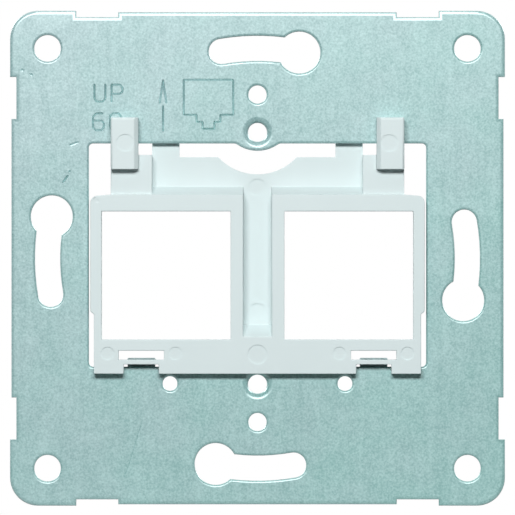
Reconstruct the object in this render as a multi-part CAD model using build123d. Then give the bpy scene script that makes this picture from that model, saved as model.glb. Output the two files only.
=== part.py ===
from build123d import *
import os

# Modular jack mounting frame: a stamped steel support plate for a flush wall box and the
# moulded adapter that snaps into its window and takes two modular jacks.
# Millimetres. X runs to the right, Y away from the viewer into the wall, Z up.
# The origin is the centre of the plate's screw circle, on the plate's rear face.
# Outlines are drawn as seen from the front. A height is measured from the plate's rear
# face towards the viewer, so what lies behind that face has a negative height.

# Support plate: sheet and outline
sheet = 1.2
screw_circle = 60.0
edge_margin = 5.35
corner_radius = 4.0
middle_step = 0.2
notch_spacing = 45.8
notch_width = 6.0
notch_depth = 0.9
edge_roll = 0.15
edge_roll_depth = 0.25
outline_draw = 0.4
hole_draw = 0.2
draw_depth = 0.11

# Support plate: keyhole slots for the wall box screws
entry_bore = 6.0
entry_turn = -11.5
slot_width = 3.6
slot_turn = 9.9

# Support plate: round holes
corner_bore = 3.8
cover_screw_spacing = 36.0
cover_screw_bore = 2.7
mouth_bore = 4.5
collar_wall = 0.7
collar_depth = 0.9
collar_root = 0.4
plain_hole_spacing = 46.8
plain_bore = 2.6
small_hole_spacing = 25.0
small_hole_drop = 17.9
small_bore = 2.1

# Support plate: window for the adapter
window_top = 16.4
window_drop = 15.5
window_radius = 0.6
lobe_radius = 5.1
lobe_reach = 1.05
lobe_blend = 0.8

# Adapter: jack openings and the frame around them
jack_width = 18.4
jack_height = 18.3
jack_pitch = 26.1
side_strip = 1.6
top_strip = 2.4
bottom_band = 3.9
lead_in = 1.25
lead_in_depth = 0.5
frame_rounding = 1.0
frame_fall = 0.25
shoulder_step = 0.5
shoulder_height = 7.6
shoulder_slope = 0.4

# Adapter: levels and clearances
face_rise = 1.6
floor_wall = 1.3
fit_gap = 0.1
side_gap = 0.25
bottom_gap = 0.35

# Adapter: hooks and arms in front of the window's top edge
arm_spacing = 30.1
arm_width = 5.9
arm_gap = 1.65
arm_wall = 1.3
hook_width = 3.95
hook_reach = 3.7
hook_foot = 2.05
hook_rise = 1.5
hook_chamfer = 0.6
hook_edge = 0.35

# Adapter: recess between the arms, its tabs and the column between the jack openings
recess_gap = 1.95
recess_slope = 1.1
tab_width = 3.9
tab_reach = 1.8
tab_lead = 0.5
relief_radius = 7.6
relief_depth = 2.45
column_strip = 1.8
column_ramp = 1.7
column_tongue = 0.4

# Adapter: lip in front of the window's bottom edge and the snap lugs behind it
lip_reach = 1.0
snap_spacing = 33.2
snap_slot_width = 6.5
snap_slot_height = 1.3
snap_bar = 0.65
snap_notch_width = 5.0
lug_width = 3.95
lug_reach = 0.8
lug_shoulder = 0.25
groove_rib = 1.2

# Sizes that follow from the ones above
plate_size = screw_circle + 2 * edge_margin
screw_radius = screw_circle / 2
frame_width = jack_pitch + jack_width + 2 * side_strip
window_width = frame_width + 2 * side_gap
window_bottom = -window_drop
jack_bottom = window_bottom + bottom_band
jack_top = jack_bottom + jack_height
frame_top = jack_top + top_strip
body_bottom = window_bottom + bottom_gap
lip_bottom = window_bottom - lip_reach
face = sheet + face_rise
frame_face = face - lead_in_depth
hook_face = frame_face + hook_rise
over_plate = sheet + fit_gap
floor_front = -fit_gap
floor_rear = floor_front - floor_wall
arm_top = window_top - arm_gap
recess_top = window_top - recess_gap
column_width = jack_pitch - jack_width - 2 * column_strip
bar_top = body_bottom + snap_bar
slot_top = bar_top + snap_slot_height
shoulder = -shoulder_height
cut_over = 1.0

FRONT = Plane.XZ
SECTION = Plane((0, 0, 0), x_dir=(0, -1, 0), z_dir=(-1, 0, 0))


def slab(outline, low, high):
    """Solid with a drawn outline, between two heights."""
    return extrude(FRONT.offset(low) * outline, amount=high - low)


def block(left, right, bottom, top, low, high):
    """Rectangular solid between two heights."""
    middle = Pos((left + right) / 2, (bottom + top) / 2)
    return slab(middle * Rectangle(right - left, top - bottom), low, high)


def rail(points, centre_x, width):
    """Solid with a section drawn as height and Z, and a width along X."""
    start = SECTION.offset(-centre_x - width / 2)
    return extrude(start * Polygon(*points), amount=width)


def turned(profile_edges, z):
    """Solid of revolution about an axis through the plate, drawn as radius and height."""
    section = Plane((0, 0, z), x_dir=(1, 0, 0), z_dir=(0, 0, -1))
    return revolve(section * make_face(profile_edges), axis=Axis((0, 0, z), (0, -1, 0)))


def front_face(solid):
    """The flat face nearest the viewer."""
    return solid.faces().sort_by(Axis.Y)[0]


def both_sides(solid):
    """A solid on the right and its mirror image on the left."""
    return solid + mirror(solid, about=Plane.YZ)


def outer_rim(solid):
    """Edges round the outside of the front face."""
    return front_face(solid).outer_wire().edges()


def inner_rims(solid):
    """Edges of all the openings in the front face."""
    return [edge for rim in front_face(solid).inner_wires() for edge in rim.edges()]


def rolled(solid, rims, draw):
    """Edges as a press leaves them: rolled over at the cut and drawn down gently beside it."""
    solid = chamfer(rims(solid), edge_roll, edge_roll_depth, reference=front_face(solid))
    return chamfer(rims(solid), draw, draw_depth, reference=front_face(solid))


def plate_outline():
    """Square with rounded corners, two notches a side and slightly lower middles."""
    outline = RectangleRounded(plate_size, plate_size, corner_radius)
    edge = plate_size / 2
    for side in range(4):
        turn = Rot(0, 0, 90 * side)
        outline -= turn * Pos(0, edge) * Rectangle(notch_spacing, 2 * middle_step)
        for x in (-notch_spacing / 2, notch_spacing / 2):
            outline -= turn * Pos(x, edge) * Rectangle(notch_width, 2 * notch_depth)
    return outline


def window_outline():
    """Window with a lobe of sheet left round the upper cover screw hole."""
    middle = (window_top + window_bottom) / 2
    height = window_top - window_bottom
    lobe_centre = window_top - lobe_reach + lobe_radius
    window = Pos(0, middle) * RectangleRounded(window_width, height, window_radius)
    window -= Pos(0, lobe_centre) * Circle(lobe_radius)
    top_corners = window.vertices().group_by(Axis.Y)[-1].sort_by(lambda v: abs(v.X))
    return fillet(top_corners[:2], lobe_blend)


def keyhole():
    """Arc slot along the screw circle that ends in a round entry for the screw head."""
    path = CenterArc((0, 0), screw_radius, entry_turn, slot_turn - entry_turn)
    entry = Rot(0, 0, entry_turn) * Pos(screw_radius, 0) * Circle(entry_bore / 2)
    return SlotArc(path, slot_width) + entry


def round_holes():
    """Corner holes, the two plain holes on the centre line and the two small ones."""
    corner, plain, small = screw_radius, plain_hole_spacing / 2, small_hole_spacing / 2
    corners = [Rot(0, 0, 90 * side) * Pos(corner, corner) * Circle(corner_bore / 2) for side in range(4)]
    plains = [Pos(0, z) * Circle(plain_bore / 2) for z in (-plain, plain)]
    smalls = [Pos(x, -small_hole_drop) * Circle(small_bore / 2) for x in (-small, small)]
    return Sketch() + corners + plains + smalls


def collar(z):
    """Metal drawn out behind the sheet round a cover screw hole."""
    inner, outer = cover_screw_bore / 4, cover_screw_bore / 2 + collar_wall
    root = (outer + collar_root, 0)
    edges = [
        Line((inner, -collar_depth), (outer, -collar_depth)),
        Line((outer, -collar_depth), (outer, -collar_root)),
        RadiusArc((outer, -collar_root), root, collar_root),
        Polyline(root, (root[0], sheet / 2), (inner, sheet / 2), (inner, -collar_depth)),
    ]
    return turned(edges, z)


def flared_bore(z):
    """Cut for a cover screw hole, whose mouth rolls in where the metal was drawn through."""
    bore, mouth = cover_screw_bore / 2, mouth_bore / 2
    flare = mouth - bore
    rear, front = -collar_depth - cut_over, sheet + cut_over
    edges = [
        Polyline((mouth, sheet), (mouth, front), (0, front), (0, rear), (bore, rear)),
        Line((bore, rear), (bore, sheet - flare)),
        RadiusArc((bore, sheet - flare), (mouth, sheet), flare),
    ]
    return turned(edges, z)


def make_support_plate():
    plate = rolled(slab(plate_outline(), 0, sheet), outer_rim, outline_draw)
    openings = window_outline() + round_holes()
    for side in range(4):
        openings += Rot(0, 0, 90 * side) * keyhole()
    plate = rolled(plate - slab(openings, 0, sheet), inner_rims, hole_draw)
    for z in (-cover_screw_spacing / 2, cover_screw_spacing / 2):
        plate += collar(z)
        plate -= flared_bore(z)
    return plate


def lead_in_cut():
    """Cut that sets the frame back above the bottom band, with a slope beside the column."""
    foot, high = jack_bottom - lead_in, frame_top + cut_over
    points = [
        (face + cut_over, foot),
        (face, foot),
        (frame_face, jack_bottom),
        (frame_face, high),
        (face + cut_over, high),
    ]
    inner, outer = column_width / 2, frame_width / 2 + cut_over
    return both_sides(rail(points, (inner + outer) / 2, outer - inner))


def frame_body():
    """Deep frame that fills the window, narrower below its shoulders, and the front lip."""
    half, low = frame_width / 2, frame_width / 2 - shoulder_step
    right_side = [
        (low, body_bottom),
        (low, shoulder - shoulder_slope),
        (half, shoulder),
        (half, frame_top - frame_fall),
        (arm_spacing / 2 + arm_width, frame_top),
    ]
    left_side = [(-x, z) for x, z in reversed(right_side)]
    outline = Polygon(*right_side, *left_side)
    outline = fillet(outline.vertices().group_by(Axis.Y)[-2], frame_rounding)
    body = slab(outline, floor_rear, face) - lead_in_cut()
    return body + block(-low, low, lip_bottom, bar_top, over_plate, face)


def arm():
    """Arm beside the recess, hollow behind, with the hook that laps over the plate."""
    left, right = arm_spacing / 2, arm_spacing / 2 + arm_width
    solid = block(left, right, jack_top, arm_top, floor_rear, frame_face)
    hook_bottom, hook_top = arm_top - hook_foot, window_top + hook_reach
    hook = block(right - hook_width, right, hook_bottom, hook_top, over_plate, hook_face)
    hook = chamfer(front_face(hook).edges().sort_by(Axis.X)[0], hook_chamfer)
    rim = front_face(hook).edges()
    hook = fillet([rim.sort_by(Axis.X)[-1], rim.sort_by(Axis.Z)[-1]], hook_edge)
    inner_left, inner_right = left + arm_wall, right - arm_wall
    hollow = block(inner_left, inner_right, frame_top, arm_top - arm_wall, floor_rear, frame_face - arm_wall)
    return solid + hook - hollow


def recess_floor():
    """Thin wall behind the plate's rear face, with its two tabs and the arc relief."""
    half = arm_spacing / 2
    floor = block(-half, half, jack_top, recess_top, floor_rear, floor_front)
    tab_top = window_top + tab_reach
    tab = rail(
        [
            (floor_rear, frame_top),
            (floor_front, frame_top),
            (floor_front, tab_top - tab_lead),
            (floor_front - tab_lead, tab_top),
            (floor_rear, tab_top),
        ],
        half - tab_width / 2,
        tab_width,
    )
    ramp = rail(
        [(floor_rear, frame_top), (frame_face, frame_top), (floor_front, frame_top + recess_slope)],
        0,
        2 * half,
    )
    relief_centre = recess_top - relief_depth + relief_radius
    relief = Pos(0, relief_centre) * Circle(relief_radius)
    return floor + both_sides(tab) + ramp - slab(relief, floor_rear, floor_front)


def column_cut():
    """Channel down the column between the openings, which ramps up to a tongue of the band."""
    end = jack_bottom + column_tongue
    foot = end + column_ramp
    top = frame_top + recess_slope
    points = [
        (face + cut_over, top),
        (floor_front, top),
        (floor_front, foot),
        (face, end),
        (face + cut_over, end),
    ]
    return rail(points, 0, column_width)


def jack_opening():
    """Square opening for one modular jack."""
    left = (jack_pitch - jack_width) / 2
    return block(left, left + jack_width, jack_bottom, jack_top, floor_rear, face)


def snap_cut():
    """Slot that frees the springing bar, and the notch in the lip in front of it."""
    centre = snap_spacing / 2
    half_slot, half_notch = snap_slot_width / 2, snap_notch_width / 2
    slot = block(centre - half_slot, centre + half_slot, bar_top, slot_top, floor_rear, face)
    notch = block(centre - half_notch, centre + half_notch, lip_bottom, body_bottom, over_plate, face)
    return slot + notch


def snap_lug():
    """Lug on the springing bar that catches behind the plate."""
    catch = window_bottom - lug_reach
    points = [
        (floor_rear, bar_top + lug_shoulder),
        (floor_rear, body_bottom),
        (floor_front, catch),
        (floor_front, bar_top + lug_shoulder),
    ]
    return rail(points, snap_spacing / 2, lug_width)


def rear_groove():
    """Groove behind the bottom band that keeps its walls thin."""
    end = snap_spacing / 2 - snap_slot_width / 2 - groove_rib
    return block(groove_rib / 2, end, bar_top, slot_top, floor_rear, face - floor_wall)


def make_jack_adapter():
    adapter = frame_body() + recess_floor() + both_sides(arm())
    adapter -= column_cut()
    adapter -= both_sides(jack_opening())
    adapter -= both_sides(snap_cut())
    adapter -= both_sides(rear_groove())
    return adapter + both_sides(snap_lug())


os.makedirs("parts", exist_ok=True)
export_step(make_support_plate(), "parts/support_plate.step")
export_step(make_jack_adapter(), "parts/jack_adapter.step")
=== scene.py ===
# %% [markdown]
# # A modular jack mounting frame
# The object is a square of galvanised sheet steel, about 71 mm wide, that screws to a flush wall
# box. A pale plastic adapter is snapped into its window and holds two modular jacks. Both pieces
# arrive as finished solids in metres, upright as on a wall: X to the right, Y into the wall, Z
# up. They have every hole, hook and rolled edge already. This script adds what a construction
# leaves out: stamped marks, wear, moulding marks and surfaces, and light for a picture.

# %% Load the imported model
import math

import bmesh
import bpy
from mathutils import Matrix, Vector


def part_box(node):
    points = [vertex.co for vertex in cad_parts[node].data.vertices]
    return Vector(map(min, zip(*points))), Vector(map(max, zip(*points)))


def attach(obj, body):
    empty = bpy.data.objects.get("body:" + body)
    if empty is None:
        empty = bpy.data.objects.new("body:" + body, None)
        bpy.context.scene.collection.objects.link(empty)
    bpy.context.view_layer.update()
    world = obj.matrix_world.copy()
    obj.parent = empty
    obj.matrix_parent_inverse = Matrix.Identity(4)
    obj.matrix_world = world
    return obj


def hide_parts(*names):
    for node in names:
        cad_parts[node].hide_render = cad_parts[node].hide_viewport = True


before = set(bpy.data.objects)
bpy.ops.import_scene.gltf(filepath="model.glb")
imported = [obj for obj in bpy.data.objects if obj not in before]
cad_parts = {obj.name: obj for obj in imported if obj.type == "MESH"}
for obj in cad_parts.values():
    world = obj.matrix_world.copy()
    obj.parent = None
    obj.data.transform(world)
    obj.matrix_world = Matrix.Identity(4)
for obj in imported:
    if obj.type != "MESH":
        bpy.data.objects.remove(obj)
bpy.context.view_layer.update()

MM = 0.001


# %% [markdown]
# ## The camera
# The picture was taken straight from the front with a long lens, so nearly no depth shows. An
# orthographic camera would show none at all, but then the sides of the openings would vanish too.
# A lens of over half a metre at one and a half metres keeps the trace of depth that the real
# lens left. The width of the view at the plate's front face sets the scale: the picture is 515
# pixels wide, at 7 pixels to the millimetre.

# %% Camera
PICTURE_PIXELS = 515
PIXELS_PER_MM = 7.0
PICTURE_CENTRE_Z = 0.107 * MM
CAMERA_DISTANCE = 1.5
SENSOR_WIDTH = 36
NEAREST_SEEN = 0.01
FARTHEST_SEEN = 20
QUARTER_TURN = math.radians(90)

plate_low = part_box("support_plate")[0]
SHEET_FRONT = plate_low[1]
view_width = PICTURE_PIXELS / PIXELS_PER_MM * MM


def add_object(name, data):
    """A new object for a camera, lamp or mesh, at the origin of the scene."""
    made = bpy.data.objects.new(name, data)
    bpy.context.scene.collection.objects.link(made)
    return made


camera_data = bpy.data.cameras.new("camera")
camera = add_object("camera", camera_data)
camera.location = (0, SHEET_FRONT - CAMERA_DISTANCE, PICTURE_CENTRE_Z)
camera.rotation_euler = (QUARTER_TURN, 0, 0)
camera_data.sensor_width = SENSOR_WIDTH
camera_data.lens = SENSOR_WIDTH * CAMERA_DISTANCE / view_width
camera_data.clip_start = NEAREST_SEEN
camera_data.clip_end = FARTHEST_SEEN
bpy.context.scene.camera = camera
print("lens in mm:", round(camera_data.lens), "view width in mm:", round(view_width / MM, 2))

# %% [markdown]
# ## Working on a copy of a solid
# Each solid arrives as a mesh of loose triangles, and it stays as it is. What changes its shape
# works on a copy, which then stands for the solid in the picture. The copy could be used as it
# comes, but its faces share no points along the edges between them, so a bevel would find no
# edge to round. So the doubled points are merged first, and flat areas become single faces: a
# bevel or a cut then meets only the edges that a maker would feel with a finger.

# %% Copy of a solid
MERGE_DISTANCE = 0.0005 * MM
FLAT_ANGLE = math.radians(0.5)


def copy_of_node(node, name):
    """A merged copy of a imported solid, with its flat areas joined."""
    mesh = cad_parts[node].data.copy()
    mesh.name = name
    shape = bmesh.new()
    shape.from_mesh(mesh)
    bmesh.ops.remove_doubles(shape, verts=shape.verts, dist=MERGE_DISTANCE)
    bmesh.ops.dissolve_limit(shape, angle_limit=FLAT_ANGLE, verts=shape.verts, edges=shape.edges)
    shape.to_mesh(mesh)
    shape.free()
    mesh.attributes.remove(mesh.attributes["custom_normal"])
    return add_object(name, mesh)


for node in sorted(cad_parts):
    print(node, "arrives with", len(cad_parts[node].data.polygons), "triangles")

# %% [markdown]
# ## Cutting and modifiers
# A stamp or an ejector pin presses a shape into a piece. In Blender that is a Boolean modifier
# with a second object as the cutter. Its fast solver isn't made for parts that overlap, as the
# bars of one stroke do, so the exact solver does the work. Its switch for crossing parts stays
# off where nothing crosses, because on the bevelled adapter it left black faces. What a
# modifier makes is written into the mesh at once, so that the next step can measure it.

# %% Cuts and modifiers
CUT_SOLVER = "EXACT"


def apply_modifiers(piece):
    """Write what the modifiers make into the mesh itself."""
    bpy.context.view_layer.update()
    made = piece.evaluated_get(bpy.context.evaluated_depsgraph_get())
    mesh = bpy.data.meshes.new_from_object(made)
    piece.modifiers.clear()
    piece.data = mesh
    bpy.context.view_layer.update()


def cut(piece, cutter, crossing):
    """Take the cutter out of the piece; crossing says that the cutter's own parts may cross."""
    step = piece.modifiers.new("cut", "BOOLEAN")
    step.operation = "DIFFERENCE"
    step.object = cutter
    step.solver = CUT_SOLVER
    step.use_self = crossing
    apply_modifiers(piece)
    bpy.data.objects.remove(cutter)


print("cuts are made by the", CUT_SOLVER.lower(), "solver")

# %% [markdown]
# ## Shading that looks rounded where the piece is
# Sheet and moulding have wide flat faces with narrow rounded edges between them. Flat shading
# shows every edge as a crease, and plain smooth shading bends the light over the flats. Here an
# edge is smooth up to a given angle, and a Weighted Normal modifier lets the large faces decide:
# they stay flat, and only the narrow strips between them blend.

# %% Shading
LARGE_FACE_WEIGHT = 90


def soften(piece, smooth_degrees):
    """Smooth shading that keeps wide flat faces flat and blends the narrow edges."""
    shape = bmesh.new()
    shape.from_mesh(piece.data)
    for face in shape.faces:
        face.smooth = True
    for edge in shape.edges:
        edge.smooth = edge.calc_face_angle(0) < math.radians(smooth_degrees)
    shape.to_mesh(piece.data)
    shape.free()
    weigh = piece.modifiers.new("weigh", "WEIGHTED_NORMAL")
    weigh.keep_sharp = True
    weigh.weight = LARGE_FACE_WEIGHT
    apply_modifiers(piece)


print("large faces weigh", LARGE_FACE_WEIGHT, "of 100 in the shading")

# %% [markdown]
# ## Stamped symbols
# The sheet carries marks pressed in with sharp tools. Two are symbols: an arrow that says which
# way is up, and the stepped outline of a jack. They could be drawn in an image and used as bump,
# but real grooves catch the light from every side. So each mark is a list of strokes, and each
# stroke a list of corner points in millimetres, X and Z. The outline of the jack is given by its
# half widths from the top down, and by the levels where it steps.

# %% Symbols
ARROW_X = -13.5
ARROW_TIP = 25.4
ARROW_BARB = 22.2
ARROW_SPREAD = 0.48
ARROW_FOOT = 18.2

JACK_X = -7.0
JACK_HALF_WIDTHS = (3.53, 1.7, 0.84)
JACK_LEVELS = (25.5, 20.5, 19.5, 18.5)


def arrow_strokes():
    """A long thin arrow that points up."""
    head = [
        (ARROW_X - ARROW_SPREAD, ARROW_BARB),
        (ARROW_X, ARROW_TIP),
        (ARROW_X + ARROW_SPREAD, ARROW_BARB),
    ]
    shaft = [(ARROW_X, ARROW_BARB - ARROW_SPREAD), (ARROW_X, ARROW_FOOT)]
    return [head, shaft]


def jack_strokes():
    """The stepped outline of a modular jack, wide at the top, as one closed stroke."""
    right = []
    for half, upper, lower in zip(JACK_HALF_WIDTHS, JACK_LEVELS, JACK_LEVELS[1:]):
        right += [(JACK_X + half, upper), (JACK_X + half, lower)]
    left = [(2 * JACK_X - x, z) for x, z in reversed(right)]
    return [right + left + right[:1]]


symbols = jack_strokes() + arrow_strokes()
print("symbols:", len(symbols), "strokes")

# %% [markdown]
# ## Stamped characters
# Two short rows of plain characters stand beside the arrow: a word that marks the upper edge,
# and the spacing of the screws in millimetres. A Text object could give them, but it brings a
# font and filled outlines, and a stamp leaves one narrow groove to a stroke. So these are single
# strokes with cut corners, each drawn in a box one unit high, then scaled and moved into place.

# %% Characters
CHARACTER_HEIGHT = 2.4
CHARACTER_STEP = 2.45
FIRST_ROW = (-23.3, 22.4)
SECOND_ROW = (-23.5, 18.3)

CHARACTERS = {
    "U": [[(0, 1), (0, 0.18), (0.15, 0), (0.5, 0), (0.65, 0.18), (0.65, 1)]],
    "P": [[(0, 0), (0, 1), (0.5, 1), (0.65, 0.85), (0.65, 0.6), (0.5, 0.45), (0, 0.45)]],
    "6": [[(0.55, 1), (0.2, 1), (0, 0.8), (0, 0.18), (0.15, 0), (0.5, 0), (0.65, 0.18),
           (0.65, 0.42), (0.5, 0.57), (0, 0.57)]],
    "0": [[(0.15, 0), (0.5, 0), (0.65, 0.18), (0.65, 0.82), (0.5, 1), (0.15, 1), (0, 0.82),
           (0, 0.18), (0.15, 0)]],
}


def row_strokes(text, start):
    """A row of characters whose first one has its lower left corner at the start."""
    strokes = []
    for place, character in enumerate(text):
        left = start[0] + place * CHARACTER_STEP
        for stroke in CHARACTERS[character]:
            strokes.append(
                [(left + x * CHARACTER_HEIGHT, start[1] + z * CHARACTER_HEIGHT) for x, z in stroke]
            )
    return strokes


rows = row_strokes("UP", FIRST_ROW) + row_strokes("60", SECOND_ROW)
print("characters:", len(rows), "strokes")

# %% [markdown]
# ## Wear
# A loose steel part is never without traces of handling: a hairline scratch, a nick from a sharp
# corner, and a few small dings where other parts struck it. A noise texture would spread such
# marks evenly, which real wear never is. So they are strokes too, listed where they lie.

# %% Wear
SCRATCHES = [
    [(-16.7, -23.9), (-18.4, -29.6), (-19.0, -31.1)],
]
NICKS = [
    [(-27.1, 11.8), (-27.4, 11.4), (-27.8, 10.9)],
    [(-26.9, 12.4), (-26.8, 12.5)],
]
DINGS = [
    [(-26.7, 16.2), (-25.7, 16.6)],
    [(-32.4, 26.3), (-32.2, 26.2)],
    [(-33.7, 26.9), (-33.5, 26.9)],
]
print("wear:", len(SCRATCHES), "scratch,", len(NICKS), "nicks,", len(DINGS), "dings")

# %% [markdown]
# ## From strokes to grooves
# A stamped line is a V-shaped groove with pointed ends. Its cutter is a bar of diamond section:
# one half of the diamond sinks into the sheet, and the other stands in the air in front of it.
# A cylinder with four sides would do, but its rounding leaves two bars of one stroke a hair
# apart, and the cut turns that gap into slivers. So a diamond is set exactly on each end point.
# Poking gives it a middle point, which is pulled out into the tip, and the two are bridged. A
# section is the groove's half width and its depth: a scratch is narrow and shallow, and a ding
# is wide.

# %% Groove cutters
MARK_SECTION = (0.16 * MM, 0.21 * MM)
SCRATCH_SECTION = (0.08 * MM, 0.08 * MM)
DING_SECTION = (0.22 * MM, 0.18 * MM)
DIAMOND_SIDES = 4
INTO_SHEET = Vector((0, 1, 0))


def groove_bar(shape, start, end, section):
    """One bar of diamond section with pointed ends, from start to end on the sheet's front."""
    half_width, depth = section
    start = Vector((start[0] * MM, SHEET_FRONT, start[1] * MM))
    end = Vector((end[0] * MM, SHEET_FRONT, end[1] * MM))
    along = (end - start).normalized()
    across = along.cross(INTO_SHEET)
    turned = Matrix((across * half_width, INTO_SHEET * depth, along)).transposed().to_4x4()
    rims = []
    for place, outward in ((start, -along), (end, along)):
        diamond = bmesh.ops.create_circle(
            shape,
            cap_ends=True,
            segments=DIAMOND_SIDES,
            radius=1,
            matrix=Matrix.Translation(place) @ turned,
        )
        cap = diamond["verts"][0].link_faces[0]
        rims += cap.edges
        tip = bmesh.ops.poke(shape, faces=[cap])["verts"][0]
        tip.co = place + outward * half_width
    bmesh.ops.bridge_loops(shape, edges=rims)


def groove_cutter(strokes, section):
    """All the bars of the strokes, as one object."""
    shape = bmesh.new()
    for stroke in strokes:
        for start, end in zip(stroke, stroke[1:]):
            groove_bar(shape, start, end, section)
    bmesh.ops.recalc_face_normals(shape, faces=shape.faces)
    mesh = bpy.data.meshes.new("groove_cutter")
    shape.to_mesh(mesh)
    shape.free()
    return add_object("groove_cutter", mesh)


print("a stamped groove is", round(2 * MARK_SECTION[0] / MM, 2), "mm wide")

# %% [markdown]
# ## The stamped plate
# The plate is punched from one sheet. Its outline, holes and rolled edges come with the solid,
# so a copy of it only takes the grooves. Smooth shading across the narrow rolled edges makes
# them read as round, as the punch leaves them, while the steeper walls of the grooves stay
# sharp. The copy rides on the root body and replaces the solid in the picture.

# %% Plate
ROLLED_EDGE_ANGLE = 48

plate = copy_of_node("support_plate", "stamped_plate")
cut(plate, groove_cutter(symbols + rows + NICKS, MARK_SECTION), crossing=True)
cut(plate, groove_cutter(SCRATCHES, SCRATCH_SECTION), crossing=True)
cut(plate, groove_cutter(DINGS, DING_SECTION), crossing=True)
soften(plate, ROLLED_EDGE_ANGLE)
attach(plate, "root")
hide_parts("support_plate")
print("stamped plate:", len(plate.data.polygons), "faces")

# %% [markdown]
# ## Pin marks on the moulding
# Pins push a fresh moulding out of its tool, and each leaves a shallow round mark on a hook, the
# column or the lower band. A mark could be a bump in the material, but a cut has a real rim that
# shades itself. Each is given by its X, its Z and its diameter in millimetres. A ray from the
# front finds the surface it sits on, and a disc that reaches just below is cut away.

# %% Pin marks
PIN_DEPTH = 0.12 * MM
PIN_CLEARANCE = 0.3 * MM
PIN_SEGMENTS = 48
HOOK_PINS = [(-18.9, 16.45, 2.5), (18.8, 16.4, 2.5)]
COLUMN_PINS = [(0, 10.1, 2.5), (0, -7.6, 2.3)]
BAND_PINS = [(0, -13.75, 2.8)] + [(x, -13.6, 1.9) for x in (-21.4, -11.7, 11.7, 21.4)]

adapter_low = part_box("jack_adapter")[0]


def front_surface(piece, x, z):
    """Where a ray from the front first meets the piece."""
    ahead = Vector((x * MM, adapter_low[1] - PIN_CLEARANCE, z * MM))
    found, place, _, _ = piece.ray_cast(ahead, INTO_SHEET)
    if not found:
        raise ValueError("no surface behind the pin mark at %s, %s" % (x, z))
    return place


def pin_cutter(piece, pins):
    """Short discs that reach the pin depth below the surface, as one object."""
    shape = bmesh.new()
    facing = Matrix.Rotation(QUARTER_TURN, 4, "X")
    for x, z, diameter in pins:
        place = front_surface(piece, x, z)
        middle = place.y + (PIN_DEPTH - PIN_CLEARANCE) / 2
        bmesh.ops.create_cone(
            shape,
            cap_ends=True,
            segments=PIN_SEGMENTS,
            radius1=diameter / 2 * MM,
            radius2=diameter / 2 * MM,
            depth=PIN_DEPTH + PIN_CLEARANCE,
            matrix=Matrix.Translation((place.x, middle, place.z)) @ facing,
        )
    bmesh.ops.recalc_face_normals(shape, faces=shape.faces)
    mesh = bpy.data.meshes.new("pin_cutter")
    shape.to_mesh(mesh)
    shape.free()
    return add_object("pin_cutter", mesh)


print("pin marks:", len(HOOK_PINS + COLUMN_PINS + BAND_PINS))

# %% [markdown]
# ## The moulded adapter
# The adapter is one injection moulding with hooks, a lip and two framed openings. A mould can't
# leave a perfectly sharp edge, and the light line along its edges is what makes plastic look
# real. A Bevel modifier could sit on the solid itself, but the solid stays untouched, so it goes
# on the merged copy, where only edges above a given angle are rounded. The pin marks are cut
# after the bevel, because their rims are too low for it.

# %% Adapter
EDGE_BEVEL = 0.12 * MM
BEVEL_SEGMENTS = 2
BEVEL_FROM_ANGLE = 25
MOULDED_EDGE_ANGLE = 40

adapter = copy_of_node("jack_adapter", "moulded_adapter")
bevel = adapter.modifiers.new("soft edges", "BEVEL")
bevel.width = EDGE_BEVEL
bevel.segments = BEVEL_SEGMENTS
bevel.limit_method = "ANGLE"
bevel.angle_limit = math.radians(BEVEL_FROM_ANGLE)
apply_modifiers(adapter)
cut(adapter, pin_cutter(adapter, HOOK_PINS + COLUMN_PINS + BAND_PINS), crossing=False)
soften(adapter, MOULDED_EDGE_ANGLE)
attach(adapter, "root")
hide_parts("jack_adapter")
print("moulded adapter:", len(adapter.data.polygons), "faces")

# %% [markdown]
# ## Writing shader sums as Python
# A material is a small graph of nodes. Wired by hand, a long sum turns into a page of Math
# nodes, so this class wraps one output socket, and a plus or a times on it adds the Math node.
# The reflected forms let a plain number stand first.

# %% Socket arithmetic
class Value:
    """A number socket that takes part in Python sums."""

    def __init__(self, shader, socket):
        self.shader = shader
        self.socket = socket

    def combine(self, operation, first, second):
        made = self.shader.node("ShaderNodeMath", {"operation": operation}, {0: first, 1: second})
        return made["Value"]

    def __add__(self, other):
        return self.combine("ADD", self, other)

    def __radd__(self, other):
        return self.combine("ADD", other, self)

    def __sub__(self, other):
        return self.combine("SUBTRACT", self, other)

    def __rsub__(self, other):
        return self.combine("SUBTRACT", other, self)

    def __mul__(self, other):
        return self.combine("MULTIPLY", self, other)

    def __rmul__(self, other):
        return self.combine("MULTIPLY", other, self)


print("a socket knows plus, minus and times")

# %% [markdown]
# ## Adding nodes
# Every other node comes from one method. It takes the node's type, its settings and what goes
# into its sockets, as plain values or as links. The settings go first, because some of them
# change which sockets the node has.

# %% Nodes
class Outputs:
    """The outputs of one node, each by its name or number and ready for sums."""

    def __init__(self, shader, made):
        self.shader = shader
        self.made = made

    def __getitem__(self, name):
        return Value(self.shader, self.made.outputs[name])


class Shader:
    """A material or world whose nodes are added by one method."""

    def __init__(self, owner):
        owner.use_nodes = True
        self.owner = owner
        self.tree = owner.node_tree
        self.tree.nodes.clear()

    def node(self, kind, settings=None, inputs=None):
        made = self.tree.nodes.new(kind)
        for name, setting in (settings or {}).items():
            setattr(made, name, setting)
        for name, given in (inputs or {}).items():
            if isinstance(given, Value):
                self.tree.links.new(given.socket, made.inputs[name])
            else:
                made.inputs[name].default_value = given
        return Outputs(self, made)


print("a shader is filled by its node method")

# %% [markdown]
# ## Noise, colour and grain
# Both surfaces are made from the same few parts. Noise in the object's own coordinates needs no
# image and stays sharp at every size. Its kind is a scale, in cycles to the metre, and a number
# of finer layers. Swing turns it into a shift to either side of nothing, and blend picks a
# colour between two. A bump makes the light follow a height that the mesh doesn't have, which
# suits a grain far finer than any face.

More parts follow.
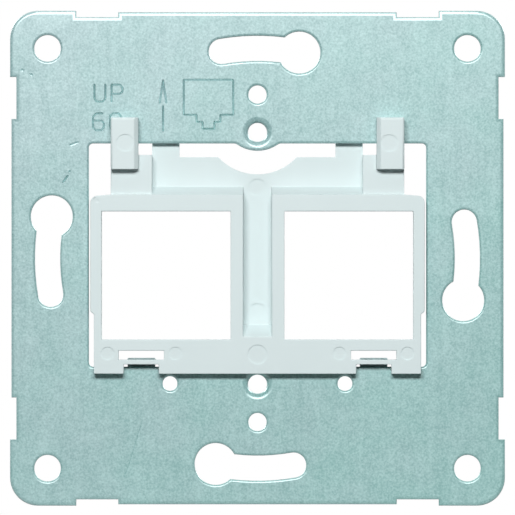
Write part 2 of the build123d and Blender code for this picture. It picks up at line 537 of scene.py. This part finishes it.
# %% Parts of a surface
LAYER_STRENGTH = 0.6
MIDDLE = 0.5
MIX_FACTOR = 0
MIX_FIRST_COLOUR = 6
MIX_SECOND_COLOUR = 7
MIX_COLOUR_RESULT = 2


def noise(shader, place, kind):
    """Grey noise between 0 and 1, of a kind given by its scale and its finer layers."""
    scale, layers = kind
    made = shader.node(
        "ShaderNodeTexNoise",
        {},
        {"Vector": place, "Scale": scale, "Detail": layers, "Roughness": LAYER_STRENGTH},
    )
    return made["Fac"]


def swing(grey, strength):
    """A noise's shift to either side of its middle."""
    return (grey - MIDDLE) * strength


def blend(shader, factor, first, second):
    """A colour between two others, each a colour or a socket."""
    made = shader.node(
        "ShaderNodeMix",
        {"data_type": "RGBA"},
        {MIX_FACTOR: factor, MIX_FIRST_COLOUR: first, MIX_SECOND_COLOUR: second},
    )
    return made[MIX_COLOUR_RESULT]


def bumped(shader, height, strength, distance, under=None):
    """The surface's normal, bumped by a height, on top of another bump if one is given."""
    inputs = {"Strength": strength, "Distance": distance, "Height": height}
    if under is not None:
        inputs["Normal"] = under
    return shader.node("ShaderNodeBump", {}, inputs)["Normal"]


def finished(shader, inputs):
    """The material, closed with one Principled shader and its inputs."""
    surface = shader.node("ShaderNodeBsdfPrincipled", {}, inputs)
    shader.node("ShaderNodeOutputMaterial", {}, {"Surface": surface["BSDF"]})
    return shader.owner


def coat(piece, material):
    """Give the piece its one material."""
    piece.data.materials.clear()
    piece.data.materials.append(material)
    print(piece.name, "is made of", material.name)


print("noise swings about", MIDDLE, "and its finer layers have a strength of", LAYER_STRENGTH)

# %% [markdown]
# ## Galvanised steel
# Zinc gives the real sheet a matt blue-green grey with a fine speckle, and rolling leaves faint
# upright streaks. A photograph of such a sheet could be laid on, but it would carry its own light
# and blur from near. So a fine noise makes the speckle, a wider one the clouds, and one that a
# Mapping node draws out upright the streaks. They move a tone from dark to light, once in a bluish
# and once in a greenish pair of colours. Wide patches of noise mix the two as the zinc's own
# uneven tone. A slow drift across the sheet adds painted sheen: the upper left turns bluish and
# greyer, as under shine from that side, and the lower right turns greenish. The surface is dull
# zinc over bare metal: a little metallic, with a raised IOR for its shine and a very low bump.

# %% Steel
SPECKLE = (3600, 3)
CLOUDS = (420, 5)
STREAKS = (900, 2)
PATCHES = (90, 6)
SPECKLE_SWING = 2.2
CLOUD_SWING = 0.8
STREAK_SWING = 0.5
PATCH_SWING = 1.6
DRAWN_UPRIGHT = (1, 1, 0.06)
# Painted sheen: how fast the tone turns from bluish at the upper left to greenish at the lower
# right.
PAINTED_SHEEN_PER_METRE = 7.0
BLUISH_DARK = (0.22, 0.385, 0.395, 1)
BLUISH_LIGHT = (0.42, 0.61, 0.62, 1)
GREENISH_DARK = (0.165, 0.395, 0.375, 1)
GREENISH_LIGHT = (0.365, 0.62, 0.60, 1)
ZINC_ROUGHNESS = 0.33
ZINC_ROUGHNESS_SWING = 0.10
ZINC_BUMP_STRENGTH = 0.25
ZINC_BUMP_HEIGHT = 0.02 * MM


def steel_material():
    """Speckled, streaked zinc in patches, with a painted sheen from bluish to greenish."""
    shader = Shader(bpy.data.materials.new("galvanised steel"))
    place = shader.node("ShaderNodeTexCoord")["Object"]
    drawn = shader.node("ShaderNodeMapping", {}, {"Vector": place, "Scale": DRAWN_UPRIGHT})
    speckle = noise(shader, place, SPECKLE)
    clouds = swing(noise(shader, place, CLOUDS), CLOUD_SWING)
    streaks = swing(noise(shader, drawn["Vector"], STREAKS), STREAK_SWING)
    tone = MIDDLE + swing(speckle, SPECKLE_SWING) + clouds + streaks

    # Painted sheen: the drift along X minus Z makes the upper left bluish and greyer, as under
    # shine from that side. The patches are the zinc's own random tone.
    along = shader.node("ShaderNodeSeparateXYZ", {}, {"Vector": place})
    painted_sheen_drift = (along["X"] - along["Z"]) * PAINTED_SHEEN_PER_METRE
    sheen_and_patches = MIDDLE + painted_sheen_drift + swing(noise(shader, place, PATCHES), PATCH_SWING)
    bluish = blend(shader, tone, BLUISH_DARK, BLUISH_LIGHT)
    greenish = blend(shader, tone, GREENISH_DARK, GREENISH_LIGHT)

    inputs = {
        "Base Color": blend(shader, sheen_and_patches, bluish, greenish),
        "Metallic": 0.1,
        "IOR": 1.7,
        "Specular IOR Level": 1.0,
        "Roughness": ZINC_ROUGHNESS + speckle * ZINC_ROUGHNESS_SWING,
        "Normal": bumped(shader, speckle, ZINC_BUMP_STRENGTH, ZINC_BUMP_HEIGHT),
    }
    return finished(shader, inputs)


coat(plate, steel_material())

# %% [markdown]
# ## Pale plastic
# The adapter is moulded in an almost white plastic with a fine matt finish. One flat colour
# would look dead on the large faces, so a faint wide noise moves it a little, and a fine one
# gives the matt grain. One more pin mark sits on the frame's rounded upper corner, where a cut
# would break the bevel. It is a bump instead: the distance from its centre makes a round step.

# %% Plastic
GRAIN = (4200, 2)
FAINT_CLOUDS = (120, 2)
PLASTIC_DARK = (0.65, 0.75, 0.755, 1)
PLASTIC_LIGHT = (0.685, 0.785, 0.79, 1)
PLASTIC_ROUGHNESS = 0.48
PLASTIC_ROUGHNESS_SWING = 0.08
GRAIN_STRENGTH = 0.12
GRAIN_HEIGHT = 0.01 * MM
CORNER_PIN_CENTRE = (-22.87 * MM, -2.25 * MM, 8.19 * MM)
CORNER_PIN_FLOOR = 0.48 * MM
CORNER_PIN_RIM = 0.66 * MM
CORNER_PIN_DEPTH = 0.05 * MM


def corner_pin_step(shader, place):
    """0 on the floor of the corner's pin mark and 1 outside its rim."""
    reach = shader.node(
        "ShaderNodeVectorMath", {"operation": "DISTANCE"}, {0: place, 1: CORNER_PIN_CENTRE}
    )
    step = shader.node(
        "ShaderNodeMapRange",
        {"interpolation_type": "SMOOTHSTEP"},
        {"Value": reach["Value"], "From Min": CORNER_PIN_FLOOR, "From Max": CORNER_PIN_RIM},
    )
    return step["Result"]


def plastic_material():
    """Pale matt plastic with one pin mark that is only a bump."""
    shader = Shader(bpy.data.materials.new("pale plastic"))
    place = shader.node("ShaderNodeTexCoord")["Object"]
    grain = noise(shader, place, GRAIN)
    clouds = noise(shader, place, FAINT_CLOUDS)
    dent = bumped(shader, corner_pin_step(shader, place), 1.0, CORNER_PIN_DEPTH)
    inputs = {
        "Base Color": blend(shader, clouds, PLASTIC_DARK, PLASTIC_LIGHT),
        "Roughness": PLASTIC_ROUGHNESS + grain * PLASTIC_ROUGHNESS_SWING,
        "Normal": bumped(shader, grain, GRAIN_STRENGTH, GRAIN_HEIGHT, under=dent),
    }
    return finished(shader, inputs)


coat(adapter, plastic_material())

# %% [markdown]
# ## The white around the object
# The object hangs in front of plain white. A bright white world would flood it with light, so
# the white is only what the camera, reflections and glass see: Light Path tells those rays from
# the ones that carry light. A reflection that looks back past the camera meets a dark room, as
# in a real studio, so the white fades out along Y in that direction. Without that, the faces
# that look at the camera would turn milky and the shadows grey.

# %% World
AMBIENT = 0.01
ROOM_SHINE = 0.03
WORLD_DARK_END = -0.70
WORLD_WHITE_START = -0.10
WHITE = (1, 1, 1, 1)


def dark_room(shader, place, dark_end, white_start):
    """How white a reflection sees the studio, fading along Y to the dark room in front."""
    depth = shader.node("ShaderNodeSeparateXYZ", {}, {"Vector": place})["Y"]
    limits = {"From Min": dark_end, "From Max": white_start, "To Min": ROOM_SHINE}
    made = shader.node(
        "ShaderNodeMapRange", {"interpolation_type": "SMOOTHSTEP"}, {"Value": depth, **limits}
    )
    return made["Result"]


def seen_white(shader, place, dark_end, white_start):
    """1 for the camera and glass, the dark room for reflections, and 0 for light."""
    ray = shader.node("ShaderNodeLightPath")
    shine = dark_room(shader, place, dark_end, white_start)
    return ray["Is Camera Ray"] + ray["Is Glossy Ray"] * shine + ray["Is Transmission Ray"]


def white_world():
    """A white background that barely lights the object."""
    shader = Shader(bpy.data.worlds.new("studio"))
    direction = shader.node("ShaderNodeTexCoord")["Generated"]
    white = seen_white(shader, direction, WORLD_DARK_END, WORLD_WHITE_START)
    strength = AMBIENT + white * (1 - AMBIENT)
    back = shader.node("ShaderNodeBackground", {}, {"Color": WHITE, "Strength": strength})
    shader.node("ShaderNodeOutputWorld", {}, {"Surface": back["Background"]})
    return shader.owner


bpy.context.scene.world = white_world()
print("the world lights the object at a strength of", AMBIENT)

# %% [markdown]
# ## The lamps
# The real picture has clear shadows under every lip and hook, yet no hard ones beside them. One
# large soft box would light the front evenly but wash those shadows out, and a small one would
# make all of them hard. So the key lamp is a wide strip, high in front: its width softens
# upright edges, and its small height keeps the shadows below an edge crisp. A weak box overhead
# lights the top edges, and two boxes behind light the back.

# %% Lamps
# Each lamp: its name, place, width, height and power in watts.
LAMPS = [
    ("key", (-0.03, -0.545, 0.254), 0.34, 0.12, 3.75),
    ("overhead", (0, -0.10, 0.70), 0.40, 0.40, 0.5),
    ("rear left", (-0.7, 0.8, 0.5), 0.5, 0.5, 7.0),
    ("rear right", (0.7, 0.8, 0.5), 0.5, 0.5, 7.0),
]


def soft_box(name, place, width, height, power):
    """A rectangular lamp at a place, turned to the middle of the plate."""
    data = bpy.data.lights.new(name, "AREA")
    data.shape = "RECTANGLE"
    data.size = width
    data.size_y = height
    data.energy = power
    box = add_object(name, data)
    box.location = place
    box.rotation_euler = (-Vector(place)).to_track_quat("-Z", "Y").to_euler()


for name, place, width, height, power in LAMPS:
    soft_box(name, place, width, height, power)
    print(name, "gives", power, "watts")

# %% [markdown]
# ## The floor
# The plate hangs just above a pale floor, which the front view leaves out and the other views
# show with the object's shadow. A large plane would do, but a disc ends in an even curve. To
# the camera the floor is nearly white, and to the light almost black, so that it throws no
# light up at the object. Its front part is dark to reflections, like the room.

# %% Floor
FLOOR_DROP = 10 * MM
FLOOR_RADIUS = 0.25
FLOOR_SEGMENTS = 96
FLOOR_DARK_END = -0.12
FLOOR_WHITE_START = -0.02
FLOOR_LIT = (0.05, 0.05, 0.05, 1)
FLOOR_SEEN = (0.85, 0.85, 0.85, 1)
FLOOR_ROUGHNESS = 0.8


def floor_material():
    """A matt floor that is pale to the camera and dark to the light."""
    shader = Shader(bpy.data.materials.new("pale floor"))
    place = shader.node("ShaderNodeTexCoord")["Object"]
    white = seen_white(shader, place, FLOOR_DARK_END, FLOOR_WHITE_START)
    tone = blend(shader, white, FLOOR_LIT, FLOOR_SEEN)
    return finished(shader, {"Base Color": tone, "Roughness": FLOOR_ROUGHNESS})


disc = bmesh.new()
bmesh.ops.create_circle(disc, cap_ends=True, segments=FLOOR_SEGMENTS, radius=FLOOR_RADIUS)
bmesh.ops.translate(disc, verts=disc.verts, vec=(0, 0, plate_low[2] - FLOOR_DROP))
floor_mesh = bpy.data.meshes.new("floor")
disc.to_mesh(floor_mesh)
disc.free()
floor = add_object("floor", floor_mesh)
coat(floor, floor_material())
print("the floor lies", FLOOR_DROP / MM, "mm below the plate")

# %% [markdown]
# ## View settings
# The view transform keeps colours plain, so that a surface comes out as it was mixed.

# %% Finish
bpy.context.scene.view_settings.view_transform = "Standard"
